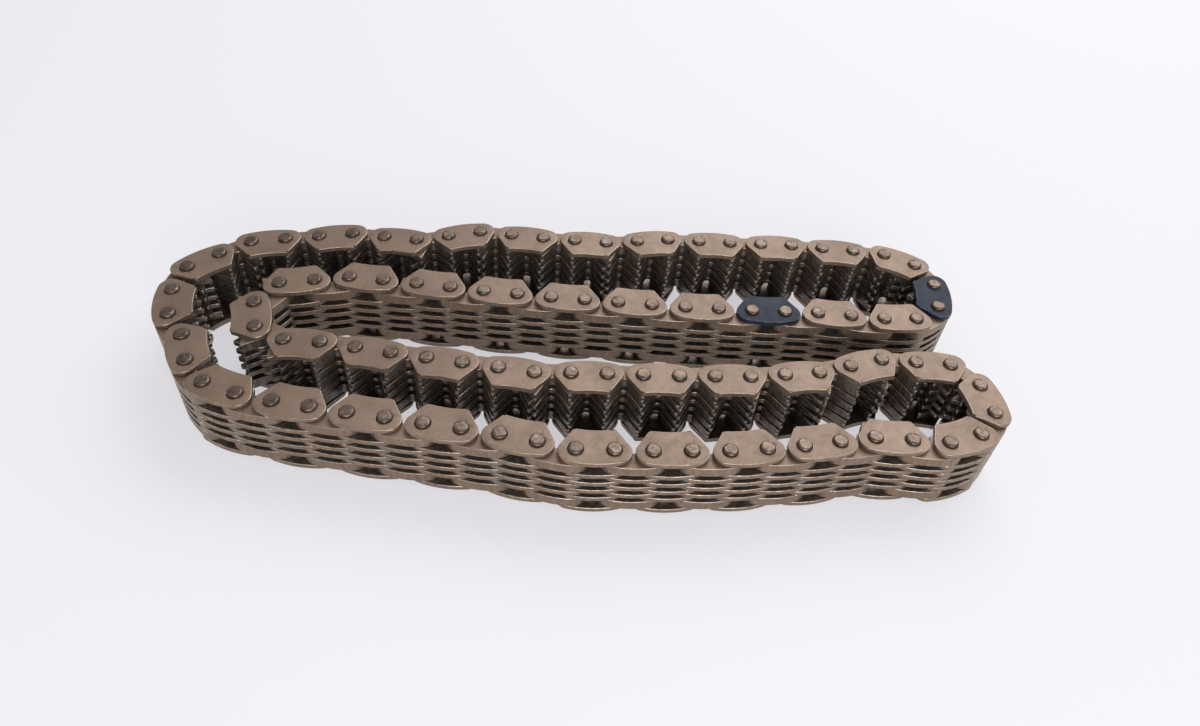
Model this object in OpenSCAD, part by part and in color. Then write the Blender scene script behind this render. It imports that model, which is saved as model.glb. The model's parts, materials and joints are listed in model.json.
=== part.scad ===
// Silent chain, an endless loop of toothed link plates, lying on its side and folded into a C.
// Links alternate along the loop. A guide link has two toothless guide plates, one above and one
// below, four toothed plates between them and the two pins that are fixed in the guide plates.
// An inner link has five toothed plates, the two side ones of double thickness, that turn on the
// pins of its neighbours. A section is one guide link with the inner link that follows it. The
// teeth face the inside of the loop.
// X runs along the arms of the C, Y across them, Z along the pins. Millimetres and degrees.

/* [Chain] */
// Pitch, from pin centre to pin centre
pitch = 9.525; // [8:0.025:12.7]
// Thickness of a plate; a side plate of an inner link fills two layers
plate_t = 1.5; // [1:0.05:2.5]
// Axial play between neighbouring plates
play = 0.06; // [0.03:0.01:0.15]

/* [Pins] */
// Pin diameter
pin_d = 4; // [3:0.1:4.6]
// Height of the riveted pin end above a guide plate
head_h = 0.85; // [0.5:0.05:1.2]
// Chamfer around each pin end
head_c = 0.45; // [0.1:0.05:0.5]
// Radial clearance of a pin in the plates that turn on it
running = 0.08; // [0.03:0.01:0.1]
// Radial clearance of a pin in the guide plates that hold it
seat = 0.01; // [0.01:0.005:0.02]

/* [Plate outline, in pitches] */
// Radius of the rounds at a plate's ends
end_k = 0.36; // [0.3:0.01:0.4]
// Crown of the back, measured from the pin line
crown_k = 0.48; // [0.46:0.005:0.5]
// Radius of the back
back_k = 3; // [2:0.1:6]
// Height of the toes above the pin line
toe_k = 0.67; // [0.62:0.005:0.69]
// Distance of the toes' outer corners from the middle of the plate
tip_k = 0.5; // [0.48:0.005:0.52]
// Width of the flat on a toe
flat_k = 0.06; // [0.03:0.01:0.1]
// Radius at the bottom of the tooth space
crotch_k = 0.12; // [0.08:0.01:0.2]
// Distance of a guide plate's corners from its middle, before they are rounded
guide_tip_k = 0.55; // [0.5:0.005:0.56]
// Radius of a guide plate's corners
corner_k = 0.1; // [0.04:0.01:0.14]
// Depth of the hollow between the corners of a guide plate
hollow_k = 0.05; // [0.02:0.01:0.1]
// Angle of a guide plate's flanks from the square, degrees
guide_flank = 34; // [32:0.5:36]
// Angle of the toothed plates' outer flanks from the square, degrees
outer_flank = 32; // [30:0.5:34]
// Angle of the toothed plates' inner flanks from the square, degrees
inner_flank = 30; // [28:0.5:32]

/* [Lay, headings in degrees anticlockwise from X] */
// Outer sections of the upper arm, from the left bend to the right end
upper_out = [196, 180, 200, 180, 182, 193, 184, 185, 181]; // whole degrees
// Places in the upper arm, from the left, whose two sections are not partners
upper_free = [2, 5]; // [0:1:8]
// Inner sections at those places
upper_own = [359, 2]; // whole degrees
// Outer sections of the lower arm, from the left bend to the right end
lower_out = [356, 357, 357, 353, 5, 7, 12, 15, 2]; // whole degrees
// Places in the lower arm, from the left, whose two sections are not partners
lower_free = [3, 7]; // [0:1:8]
// Inner sections at those places
lower_own = [186, 202]; // whole degrees
// Links of the left bend, without the two that close the loop
bend_set = [197, 226, 267, 285, 312, 296, 344, 352]; // whole degrees
// Links of the lower right end
right_lower = [24, 56, 102, 135]; // whole degrees
// Links of the inner fold, which bends backwards
inner_fold = [182, 157, 110, 63]; // whole degrees
// Links of the upper right end
right_upper = [8, 40, 87, 118, 158, 178]; // whole degrees

/* [Markers] */
// Section whose upper guide plate is painted, in the upper right end
marker_right = 37; // [36:1:38]
// Section whose upper guide plate is painted, in the inner back strand
marker_inner = 34; // [27:1:35]

/* [Hidden] */
$fn = 64;

// Layers from the bottom up, one kind of link in each; a side plate lies in two of them
guide_rows = [0, 12];
guide_tooth_rows = [3, 5, 7, 9];
inner_rows = [4, 6, 8];
side_rows = [1, 10];
row_step = plate_t + play;
side_t = plate_t + row_step;
pin_len = 13 * plate_t + 12 * play + 2 * head_h;

// Sections whose upper guide plate is a node of its own
painted_right = round(marker_right);
painted_inner = round(marker_inner);

// Outline sizes of every plate
pin_x = pitch / 2;
end_r = end_k * pitch;
crown = crown_k * pitch;
back_r = back_k * pitch;
back_c = [0, back_r - crown];
toe_h = toe_k * pitch;
function left(p) = [-p[0], p[1]];
// Directions at a right-hand flank: down along it, and square to it into the plate
function along(flank) = [sin(flank), -cos(flank)];
function inward(flank) = [-cos(flank), -sin(flank)];
// Centre of a round of radius r inside the flank through p, at a set reach from another centre c
function nested(p, flank, r, c, reach) =
    let (start = p + r * inward(flank), d = start - c, b = d * along(flank))
    start + (sqrt(b * b - d * d + reach * reach) - b) * along(flank);

// Toothed plates
toe_out = tip_k * pitch;
toe_in = toe_out - flat_k * pitch;
crotch_r = crotch_k * pitch;
// Height where the two inner flanks would meet, and the centre of the round between them
crotch_v = toe_h - toe_in / tan(inner_flank);
crotch_y = crotch_v + crotch_r / sin(inner_flank);

// Guide plates
guide_tip = [guide_tip_k * pitch, toe_h];
hollow = hollow_k * pitch;
hollow_r = (guide_tip[0] * guide_tip[0] + hollow * hollow) / (2 * hollow);
hollow_c = [0, toe_h - hollow + hollow_r];
corner_r = corner_k * pitch;
corner_c = nested(guide_tip, guide_flank, corner_r, hollow_c, hollow_r + corner_r);
corner_out = corner_c - corner_r * inward(guide_flank);
corner_in = corner_c + corner_r * (hollow_c - corner_c) / (hollow_r + corner_r);

steel = [0.60, 0.53, 0.47];
dark_steel = [0.33, 0.31, 0.30];
pin_steel = [0.55, 0.49, 0.43];
navy = [0.13, 0.17, 0.27];

// Route of the loop
function unit(a) = [cos(a), sin(a)];
function twice(v) = [for (a = v) each [a, a]];
function reversed(v) = [for (i = [len(v) - 1 : -1 : 0]) v[i]];
function total(v, i = 0) = i == len(v) ? [0, 0] : unit(v[i]) + total(v, i + 1);
// Sections of an inner strand: a partner runs exactly opposite to the outer section across from it
function across(out, free, own) =
    [for (i = [0 : len(out) - 1]) i == free[0] ? own[0] : i == free[1] ? own[1] : out[i] + 180];

arms_and_ends = concat(
    twice(lower_out), right_lower, twice(reversed(across(lower_out, lower_free, lower_own))),
    inner_fold,
    twice(across(upper_out, upper_free, upper_own)), right_upper, twice(reversed(upper_out)));
// Two links of the left bend span what the other links leave open, like the legs of a triangle
open_span = -total(concat(bend_set, arms_and_ends));
lean = atan2(open_span[1], open_span[0]);
spread = acos(norm(open_span) / 2);
left_bend = concat(
    bend_set[0], lean - spread, [for (i = [1 : 5]) bend_set[i]], lean + spread,
    bend_set[6], bend_set[7]);
headings = concat(left_bend, arms_and_ends);
link_count = len(headings);
route = [for (i = 0, p = [0, 0]; i < link_count; p = p + pitch * unit(headings[i]), i = i + 1) p];
xs = [for (p = route) p[0]];
ys = [for (p = route) p[1]];
middle = [min(xs) + max(xs), min(ys) + max(ys)] / 2;
pins = [for (p = route) p - middle];

// Names of the sections in order along the loop
function names(place, n) = [for (i = [1 : n]) str(place, "_", i)];
SECTIONS = concat(
    names("left_bend", 5), names("front", 9), names("right_low", 2), names("inner_front", 9),
    names("fold", 2), names("inner_back", 9), names("right_up", 3), names("back", 9));

// Part of a disc about c, between two points on its rim
module sector(c, from, to) {
    intersection() {
        translate(c) circle(r = norm(from - c));
        polygon([c, 2 * from - c, 2 * (from + to) - 3 * c, 2 * to - c]);
    }
}

module both_sides() {
    children();
    mirror([1, 0]) children();
}

// Blank of a plate: its right-hand points from the upper end of the flank to the middle, and below
// them round ends that run smoothly into the flanks and into the arched back
module blank(flank, upper) {
    end_c = nested(upper[0], flank, end_r, back_c, back_r - end_r);
    foot = end_c - end_r * inward(flank);
    heel = back_c + back_r * (end_c - back_c) / (back_r - end_r);
    half = concat([heel, foot], upper);
    polygon(concat(half, reversed([for (p = half) left(p)])));
    for (c = [end_c, left(end_c)]) translate(c) circle(r = end_r);
    intersection() {
        translate(back_c) circle(r = back_r);
        polygon([end_c, 2 * heel - end_c, left(2 * heel - end_c), left(end_c)]);
    }
}

// Space between the two toes of a plate, where a sprocket tooth goes
module tooth_space() {
    side = [crotch_r * cos(inner_flank), crotch_y - crotch_r * sin(inner_flank)];
    mouth = [toe_in + pitch / 10 * tan(inner_flank), toe_h + pitch / 10];
    translate([0, crotch_y]) circle(r = crotch_r);
    polygon([[-side[0], side[1]], side, mouth, [-mouth[0], mouth[1]]]);
}

module bores(clearance) {
    for (s = [-1, 1]) translate([s * pin_x, 0]) circle(d = pin_d + 2 * clearance);
}

module guide_plate() {
    linear_extrude(plate_t) difference() {
        union() {
            difference() {
                blank(guide_flank, [corner_out, corner_c, 2 * corner_in - corner_c]);
                translate(hollow_c) circle(r = hollow_r);
            }
            both_sides() sector(corner_c, corner_out, corner_in);
        }
        bores(seat);
    }
}

module toothed_plate(thickness) {
    linear_extrude(thickness) difference() {
        blank(outer_flank, [[toe_out, toe_h]]);
        bores(running);
        tooth_space();
    }
}

module pin() {
    r = pin_d / 2;
    rotate_extrude() polygon([
        [0, 0], [r - head_c, 0], [r, head_c], [r, pin_len - head_c], [r - head_c, pin_len], [0, pin_len]
    ]);
}

// Puts a plate drawn about its own middle into a link and a layer
module in_link(i, row) {
    translate(concat(pins[i], head_h + row * row_step))
        rotate(headings[i]) translate([pin_x, 0, 0]) children();
}

// One guide link, with its pins, and the inner link that follows it
module section(s) {
    painted = s == painted_right || s == painted_inner;
    g = 2 * s;
    color(steel) for (row = guide_rows) if (row == 0 || !painted) in_link(g, row) guide_plate();
    color(dark_steel) {
        for (row = guide_tooth_rows) in_link(g, row) toothed_plate(plate_t);
        for (row = inner_rows) in_link(g + 1, row) toothed_plate(plate_t);
        for (row = side_rows) in_link(g + 1, row) toothed_plate(side_t);
    }
    color(pin_steel) for (i = [g, g + 1]) translate(pins[i]) pin();
}

// Painted guide plate on the top of a section
module marker_plate(s) {
    color(navy) in_link(2 * s, guide_rows[1]) guide_plate();
}

for (s = [0 : len(SECTIONS) - 1]) section(s);
marker_plate(painted_right);  // marker_plate_right
marker_plate(painted_inner);  // marker_plate_inner
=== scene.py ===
"""Silent chain, lying on its side on a pale floor: finishes, rounded plate rims, light and camera."""

import json
import math

import bmesh
import bpy
import numpy as np
from mathutils import Matrix, Vector


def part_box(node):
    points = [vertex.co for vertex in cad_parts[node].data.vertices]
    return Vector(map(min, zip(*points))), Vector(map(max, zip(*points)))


# Camera, in metres and degrees
CAMERA_PLACE = Vector((0.0071, -0.1809, 0.1980))
CAMERA_LENS = 27.6          # mm, for a picture 36 mm wide
CAMERA_TILT = 46.7          # down from the horizon
CAMERA_ROLL = 5.6           # the right side of the picture is lifted

# Rounding of the stamped rims: width in metres, and the least turn of an edge that is a rim
RIM_WIDTH = 0.0002
RIM_TURN = math.radians(50)

# Triangles of one plain face turn by less than this, and their corners lie closer than the gap
FACE_TURN = math.radians(0.5)
CORNER_GAP = 1e-6
# How far the large faces settle the shading of their corners
FACE_WEIGHT = 80

# Least lean of a face's normal, as a share: to the tooth side, to the flat, to a pin's end
TOOTH_LEAN = 0.3
FLAT_LEAN = 0.7
PIN_END_LEAN = 0.2

# Finishes of a section, in slot order, and of a marker plate's rim
FACE, EDGE, TOOTH_AND_SHADE, PIN, RIM = range(5)
PAINTED_RIM = 1

# Half the floor's width in metres, the share of its look that is its own paleness, and the strength
# of the light all round
FLOOR_REACH = 3.0
FLOOR_GLOW = 0.6
AMBIENT = 0.39

# Layers of plates from the lower to the upper guide plate, and those of the inner links
ROWS = 13
INNER_ROWS = (1, 2, 4, 6, 8, 10, 11)

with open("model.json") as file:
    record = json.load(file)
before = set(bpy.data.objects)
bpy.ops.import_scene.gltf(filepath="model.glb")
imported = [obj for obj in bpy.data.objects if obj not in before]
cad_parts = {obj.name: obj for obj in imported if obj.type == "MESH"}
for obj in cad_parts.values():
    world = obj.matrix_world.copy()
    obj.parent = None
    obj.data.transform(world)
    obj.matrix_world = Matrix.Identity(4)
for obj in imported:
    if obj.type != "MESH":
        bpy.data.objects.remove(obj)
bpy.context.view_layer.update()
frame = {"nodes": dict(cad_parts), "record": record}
nodes = frame["nodes"]
names = [part["node"] for part in frame["record"]["subparts"]]
sections = [nodes[name] for name in names if not name.startswith("marker_plate")]
markers = [nodes[name] for name in names if name.startswith("marker_plate")]

# Heights of the layers, from an upper guide plate that is a node of its own
plate_low, plate_high = (corner.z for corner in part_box(markers[0].name))
plate_t = plate_high - plate_low
head_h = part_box(sections[0].name)[1].z - plate_high
row_step = (plate_low - head_h) / (ROWS - 1)


class Finish:
    """A material whose nodes are added from left to right."""

    def __init__(self, name):
        self.material = bpy.data.materials.new(name)
        self.material.use_nodes = True
        self.tree = self.material.node_tree
        self.shader = self.tree.nodes["Principled BSDF"]
        self.place = self.tree.nodes.new("ShaderNodeTexCoord").outputs["Object"]

    def add(self, kind, **inputs):
        node = self.tree.nodes.new(kind)
        for name, value in inputs.items():
            self.put(node.inputs[name.replace("_", " ")], value)
        return node

    def put(self, socket, value):
        if isinstance(value, bpy.types.NodeSocket):
            self.tree.links.new(value, socket)
        else:
            socket.default_value = value

    def stretched(self, scale):
        return self.add("ShaderNodeMapping", Vector=self.place, Scale=scale).outputs["Vector"]

    def noise(self, scale, detail=3.0, roughness=0.55, vector=None):
        node = self.add("ShaderNodeTexNoise", Vector=vector or self.place, Scale=scale,
                        Detail=detail, Roughness=roughness)
        return node.outputs["Fac"]

    def ramp(self, fac, *stops):
        """Grey or colour stops, each (place, value or colour)."""
        node = self.add("ShaderNodeValToRGB", Fac=fac)
        marks = node.color_ramp.elements
        while len(marks) < len(stops):
            marks.new(0.5)
        for mark, (at, value) in zip(marks, stops):
            mark.position = at
            mark.color = (*value, 1) if isinstance(value, tuple) else (value, value, value, 1)
        return node.outputs["Color"]

    def mix(self, fac, a, b, blend="MIX"):
        node = self.tree.nodes.new("ShaderNodeMix")
        node.data_type = "RGBA"
        node.blend_type = blend
        self.put(node.inputs["Factor"], fac)
        for name, value in (("A", a), ("B", b)):
            socket = next(s for s in node.inputs if s.name == name and s.type == "RGBA")
            self.put(socket, (*value, 1) if isinstance(value, tuple) else value)
        return next(s for s in node.outputs if s.type == "RGBA")

    def bump(self, height, strength, distance):
        node = self.add("ShaderNodeBump", Height=height, Strength=strength, Distance=distance)
        return node.outputs["Normal"]

    def set(self, **inputs):
        for name, value in inputs.items():
            self.put(self.shader.inputs[name.replace("_", " ")], value)
        return self.material


def guide_steel():
    """Brown phosphated faces of the guide and side plates: matte, faintly cloudy, oil stained."""
    f = Finish("guide_steel")
    tone = f.ramp(f.noise(75, 4), (0.34, (0.228, 0.153, 0.108)), (0.66, (0.308, 0.212, 0.155)))
    stain = f.ramp(f.noise(190, 5, 0.62), (0.54, 0.0), (0.76, 0.4))
    tone = f.mix(stain, tone, (0.250, 0.165, 0.098))
    speck = f.ramp(f.noise(2400, 2), (0.33, 0.72), (0.62, 1.0))
    tone = f.mix(0.6, tone, speck, "MULTIPLY")
    rough = f.ramp(f.noise(420, 4), (0.3, 0.44), (0.7, 0.60))
    return f.set(Base_Color=tone, Metallic=0.55, Roughness=rough, Coat_Weight=0.45,
                 Coat_Roughness=0.42, Normal=f.bump(f.noise(2600, 3), 0.16, 0.0001))


def sheared_steel():
    """Sheared backs and ends of the plates, with a fine speckle and faint marks of the punch."""
    f = Finish("sheared_steel")
    mark = f.noise(1.0, 3, vector=f.stretched((1300, 1300, 420)))
    tone = f.ramp(mark, (0.28, (0.184, 0.128, 0.091)), (0.74, (0.306, 0.225, 0.165)))
    stain = f.ramp(f.noise(130, 3), (0.48, 0.0), (0.72, 0.45))
    tone = f.mix(stain, tone, (0.195, 0.135, 0.085))
    rough = f.ramp(f.noise(300, 3), (0.3, 0.34), (0.7, 0.52))
    return f.set(Base_Color=tone, Metallic=0.72, Roughness=rough,
                 Normal=f.bump(mark, 0.14, 0.0001))


def tooth_oil_and_shade():
    """Tooth sides of the plates, dark brown: partly oil, partly painted shade of the channels between
    the strands that they face.
    """
    f = Finish("tooth_oil_and_shade")
    mark = f.noise(1.0, 3, vector=f.stretched((900, 900, 300)))
    # Dark tone: oil, and painted shade for the tooth sides and for the hidden flat faces between the
    # layers
    tone = f.ramp(mark, (0.28, (0.085, 0.067, 0.056)), (0.74, (0.255, 0.208, 0.176)))
    rough = f.ramp(f.noise(500, 3), (0.3, 0.28), (0.7, 0.46))
    return f.set(Base_Color=tone, Metallic=0.70, Roughness=rough,
                 Normal=f.bump(mark, 0.2, 0.0001))


def pin_steel():
    """Pins: brown-grey, glossier than the plates, with a hammered grain on the riveted ends."""
    f = Finish("pin_steel")
    tone = f.ramp(f.noise(480, 4), (0.32, (0.140, 0.101, 0.079)), (0.68, (0.262, 0.200, 0.162)))
    pit = f.ramp(f.noise(1500, 2), (0.38, 0.35), (0.58, 1.0))
    tone = f.mix(0.5, tone, pit, "MULTIPLY")
    rough = f.ramp(f.noise(700, 3), (0.3, 0.27), (0.7, 0.44))
    return f.set(Base_Color=tone, Metallic=0.85, Roughness=rough,
                 Normal=f.bump(f.noise(800, 3), 0.22, 0.0002))


def rim_wear_highlight_and_shade():
    """Rounded rims of the plates: rubbed bright and painted lighter as a highlight on the upper side
    of a layer; painted near black on the lower side as the shade in the seam to the layer below.
    """
    f = Finish("rim_wear_highlight_and_shade")
    height = f.add("ShaderNodeSeparateXYZ", Vector=f.place).outputs["Z"]
    layers = f.add("ShaderNodeMapRange", Value=height, From_Min=head_h, From_Max=head_h + row_step)
    layers.clamp = False
    part = f.add("ShaderNodeMath")
    f.put(part.inputs[0], layers.outputs["Result"])
    part.operation = "FRACT"
    upper = f.ramp(part.outputs[0], (0.42, 0.0), (0.58, 1.0))
    top = f.add("ShaderNodeMapRange", Value=height,
                From_Min=plate_low - row_step / 2, From_Max=plate_low)
    # Bright rim colour: rubbed steel, with a painted highlight
    bright = f.ramp(f.noise(650, 3), (0.34, (0.290, 0.232, 0.188)), (0.66, (0.610, 0.520, 0.440)))
    dull = f.ramp(f.noise(420, 3), (0.34, (0.290, 0.215, 0.165)), (0.68, (0.470, 0.375, 0.305)))
    tone = f.mix(top.outputs["Result"], bright, dull)
    # The lower rim of each layer is painted near black: painted shade in the seam between layers
    tone = f.mix(upper, (0.075, 0.060, 0.049), tone)
    rough = f.ramp(f.noise(900, 2), (0.3, 0.24), (0.7, 0.38))
    return f.set(Base_Color=tone, Metallic=0.85, Roughness=rough)


def marker_paint():
    """Dark blue satin paint on the two marker plates, with small scuffs down to the steel."""
    f = Finish("marker_paint")
    tone = f.ramp(f.noise(140, 4), (0.35, (0.009, 0.013, 0.031)), (0.65, (0.016, 0.022, 0.049)))
    scuff = f.ramp(f.noise(900, 4, 0.7), (0.68, 0.0), (0.76, 0.6))
    tone = f.mix(scuff, tone, (0.20, 0.175, 0.155))
    rough = f.ramp(f.noise(330, 3), (0.3, 0.36), (0.7, 0.52))
    return f.set(Base_Color=tone, Roughness=rough, Specular_IOR_Level=0.25,
                 Normal=f.bump(f.noise(700, 3), 0.15, 0.0001))


def worn_paint_rim():
    """Rims of the marker plates, where the paint is thin."""
    f = Finish("worn_paint_rim")
    tone = f.ramp(f.noise(700, 3), (0.42, (0.024, 0.031, 0.052)), (0.66, (0.110, 0.112, 0.130)))
    rough = f.ramp(f.noise(330, 3), (0.3, 0.3), (0.7, 0.45))
    return f.set(Base_Color=tone, Metallic=0.3, Roughness=rough)


def pin_places(piece):
    """Centres of the two pins of a section, seen from above."""
    place = np.array([v.co for v in piece.data.vertices])
    tops = place[place[:, 2] > plate_high + head_h * 0.6, :2]
    away = np.linalg.norm(tops - tops[0], axis=1)
    one = away < 0.45 * away.max()
    return [(group.min(0) + group.max(0)) / 2 for group in (tops[one], tops[~one])]


def link_ways():
    """For each section the ways that its guide link and its inner link run along the chain."""
    places = [pin_places(piece) for piece in sections]
    ways = []
    for (a, b), following in zip(places, places[1:] + places[:1]):
        a_gap, b_gap = (min(np.linalg.norm(p - q) for q in following) for p in (a, b))
        if a_gap < b_gap:
            a, b = b, a
        c = min(following, key=lambda q: np.linalg.norm(b - q))
        ways.append(((b - a) / np.linalg.norm(b - a), (c - b) / np.linalg.norm(c - b)))
    return ways


def sort_faces(piece, guide_way, inner_way):
    """Gives the faces of one section their finish, by layer and by which way they look."""
    mesh = piece.data
    count = len(mesh.polygons)
    corner = np.zeros(len(mesh.loops), np.int32)
    mesh.loops.foreach_get("vertex_index", corner)
    place = np.zeros(len(mesh.vertices) * 3)
    mesh.vertices.foreach_get("co", place)
    z = place.reshape(-1, 3)[corner, 2].reshape(count, 3)
    normal = np.zeros(count * 3)
    mesh.polygons.foreach_get("normal", normal)
    normal = normal.reshape(-1, 3)
    slack = plate_t / 20
    low, high = z.min(1), z.max(1)
    row = np.floor(((low + high) / 2 - head_h + slack) / row_step)
    inner = np.isin(row, INNER_ROWS)
    # The teeth are on the left of the way a link runs
    way = np.where(inner[:, None], inner_way, guide_way)
    tooth_side = normal[:, 1] * way[:, 0] - normal[:, 0] * way[:, 1] > TOOTH_LEAN
    guide = (row == 0) | (row == ROWS - 1)
    flat = abs(normal[:, 2]) > FLAT_LEAN
    outside = ((row >= ROWS - 2) & (normal[:, 2] > 0)) | ((row <= 1) & (normal[:, 2] < 0))
    pin = (high - low > 3 * plate_t) | (low > plate_high + slack) | (high < head_h - slack)
    # Flat faces that look in between the layers take the dark tooth finish: painted shade of the
    # openings, as on the tooth sides
    pick = np.select([pin, flat & outside, flat, tooth_side & ~guide],
                     [PIN, FACE, TOOTH_AND_SHADE, TOOTH_AND_SHADE], EDGE)
    mesh.polygons.foreach_set("material_index", pick.astype(np.int32))
    # The ends of the pins are flat, with a plain chamfer
    mesh.polygons.foreach_set("use_smooth", ~(pin & (abs(normal[:, 2]) > PIN_END_LEAN)))


def soften(piece, rim_slot):
    """Joins the triangles of a stamped piece and rounds its rims."""
    weld = piece.modifiers.new("join", "WELD")
    weld.merge_threshold = CORNER_GAP
    plain = piece.modifiers.new("plain_faces", "DECIMATE")
    plain.decimate_type = "DISSOLVE"
    plain.angle_limit = FACE_TURN
    plain.delimit = {"MATERIAL"}
    split = piece.modifiers.new("split_faces", "TRIANGULATE")
    split.min_vertices = 5
    rim = piece.modifiers.new("rim", "BEVEL")
    rim.width = RIM_WIDTH
    rim.segments = 2
    rim.limit_method = "ANGLE"
    rim.angle_limit = RIM_TURN
    rim.material = rim_slot
    rim.use_clamp_overlap = False
    shade = piece.modifiers.new("flat_faces", "WEIGHTED_NORMAL")
    shade.keep_sharp = False
    shade.weight = FACE_WEIGHT


finishes = [guide_steel(), sheared_steel(), tooth_oil_and_shade(), pin_steel(), rim_wear_highlight_and_shade()]
for piece, ways in zip(sections, link_ways()):
    piece.data.materials.clear()
    for finish in finishes:
        piece.data.materials.append(finish)
    sort_faces(piece, *ways)
    soften(piece, RIM)

paint = [marker_paint(), worn_paint_rim()]
for piece in markers:
    piece.data.materials.clear()
    for finish in paint:
        piece.data.materials.append(finish)
    piece.data.polygons.foreach_set("use_smooth", np.ones(len(piece.data.polygons), bool))
    soften(piece, PAINTED_RIM)


def floor_white():
    """Pale floor that looks white to the camera and in the steel, and keeps the chain's shadow."""
    f = Finish("floor_white")
    tone = f.ramp(f.noise(1.3, 0, vector=f.stretched((1.0, 1.0, 0.0))),
                  (0.30, (0.880, 0.870, 0.910)), (0.70, (0.930, 0.920, 0.950)))
    f.set(Base_Color=tone, Roughness=0.85)
    rays = f.tree.nodes.new("ShaderNodeLightPath").outputs
    seen = f.add("ShaderNodeMath")
    f.put(seen.inputs[0], rays["Is Camera Ray"])
    f.put(seen.inputs[1], rays["Is Glossy Ray"])
    seen.operation = "MAXIMUM"
    seen_all = f.add("ShaderNodeMath")
    f.put(seen_all.inputs[0], seen.outputs[0])
    f.put(seen_all.inputs[1], rays["Is Transmission Ray"])
    seen_all.operation = "MAXIMUM"
    share = f.add("ShaderNodeMath")
    f.put(share.inputs[0], seen_all.outputs[0])
    share.inputs[1].default_value = FLOOR_GLOW
    share.operation = "MULTIPLY"
    glow = f.add("ShaderNodeEmission", Color=(0.915, 0.90, 0.94, 1), Strength=1.0)
    both = f.add("ShaderNodeMixShader")
    f.put(both.inputs[0], share.outputs[0])
    f.put(both.inputs[1], f.shader.outputs[0])
    f.put(both.inputs[2], glow.outputs[0])
    f.put(f.tree.nodes["Material Output"].inputs["Surface"], both.outputs[0])
    return f.material


def floor():
    """Wide pale floor under the chain."""
    mesh = bpy.data.meshes.new("floor")
    sheet = bmesh.new()
    bmesh.ops.create_grid(sheet, x_segments=1, y_segments=1, size=FLOOR_REACH)
    sheet.to_mesh(mesh)
    sheet.free()
    piece = bpy.data.objects.new("floor", mesh)
    bpy.context.scene.collection.objects.link(piece)
    mesh.materials.append(floor_white())


def softbox(name, place, aim, size, power):
    """Rectangular lamp that faces its aim."""
    lamp = bpy.data.lights.new(name, "AREA")
    lamp.shape = "RECTANGLE"
    lamp.size, lamp.size_y = size
    lamp.energy = power
    piece = bpy.data.objects.new(name, lamp)
    piece.location = place
    piece.rotation_euler = (Vector(aim) - Vector(place)).to_track_quat("-Z", "Y").to_euler()
    bpy.context.scene.collection.objects.link(piece)


def studio():
    """Soft light all round, a wide lamp behind on the right and a low one in front."""
    scene = bpy.context.scene
    scene.view_settings.view_transform = "Standard"
    world = bpy.data.worlds.new("studio")
    world.use_nodes = True
    tree = world.node_tree
    backdrop = tree.nodes["Background"]
    backdrop.inputs["Color"].default_value = (1.0, 1.0, 1.0, 1)
    backdrop.inputs["Strength"].default_value = AMBIENT
    # Seen directly, the backdrop is as pale as the far floor
    seen = tree.nodes.new("ShaderNodeBackground")
    seen.inputs["Color"].default_value = (0.69, 0.68, 0.71, 1)
    both = tree.nodes.new("ShaderNodeMixShader")
    rays = tree.nodes.new("ShaderNodeLightPath")
    tree.links.new(rays.outputs["Is Camera Ray"], both.inputs[0])
    tree.links.new(backdrop.outputs[0], both.inputs[1])
    tree.links.new(seen.outputs[0], both.inputs[2])
    tree.links.new(both.outputs[0], tree.nodes["World Output"].inputs["Surface"])
    scene.world = world
    softbox("key_back_right", (0.29, 0.47, 0.60), (0.03, 0, 0.01), (1.0, 0.6), 4.7)
    softbox("fill_front", (0.14, -0.58, 0.24), (0, 0, 0.01), (0.5, 0.3), 2.4)


def camera():
    """Camera in front of the chain, looking down at it."""
    tilt, roll = math.radians(CAMERA_TILT), math.radians(CAMERA_ROLL)
    ahead = Vector((0, math.cos(tilt), -math.sin(tilt)))
    level = Vector((1, 0, 0))
    upright = level.cross(ahead)
    across = math.cos(roll) * level + math.sin(roll) * upright
    up = -math.sin(roll) * level + math.cos(roll) * upright
    lens = bpy.data.cameras.new("chain_camera")
    lens.sensor_fit = "HORIZONTAL"
    lens.sensor_width = 36
    lens.lens = CAMERA_LENS
    lens.clip_start = 0.005
    piece = bpy.data.objects.new("chain_camera", lens)
    turn = Matrix((across, up, -ahead)).transposed().to_4x4()
    piece.matrix_world = Matrix.Translation(CAMERA_PLACE) @ turn
    bpy.context.scene.collection.objects.link(piece)
    bpy.context.scene.camera = piece


floor()
studio()
camera()

bpy.context.view_layer.update()
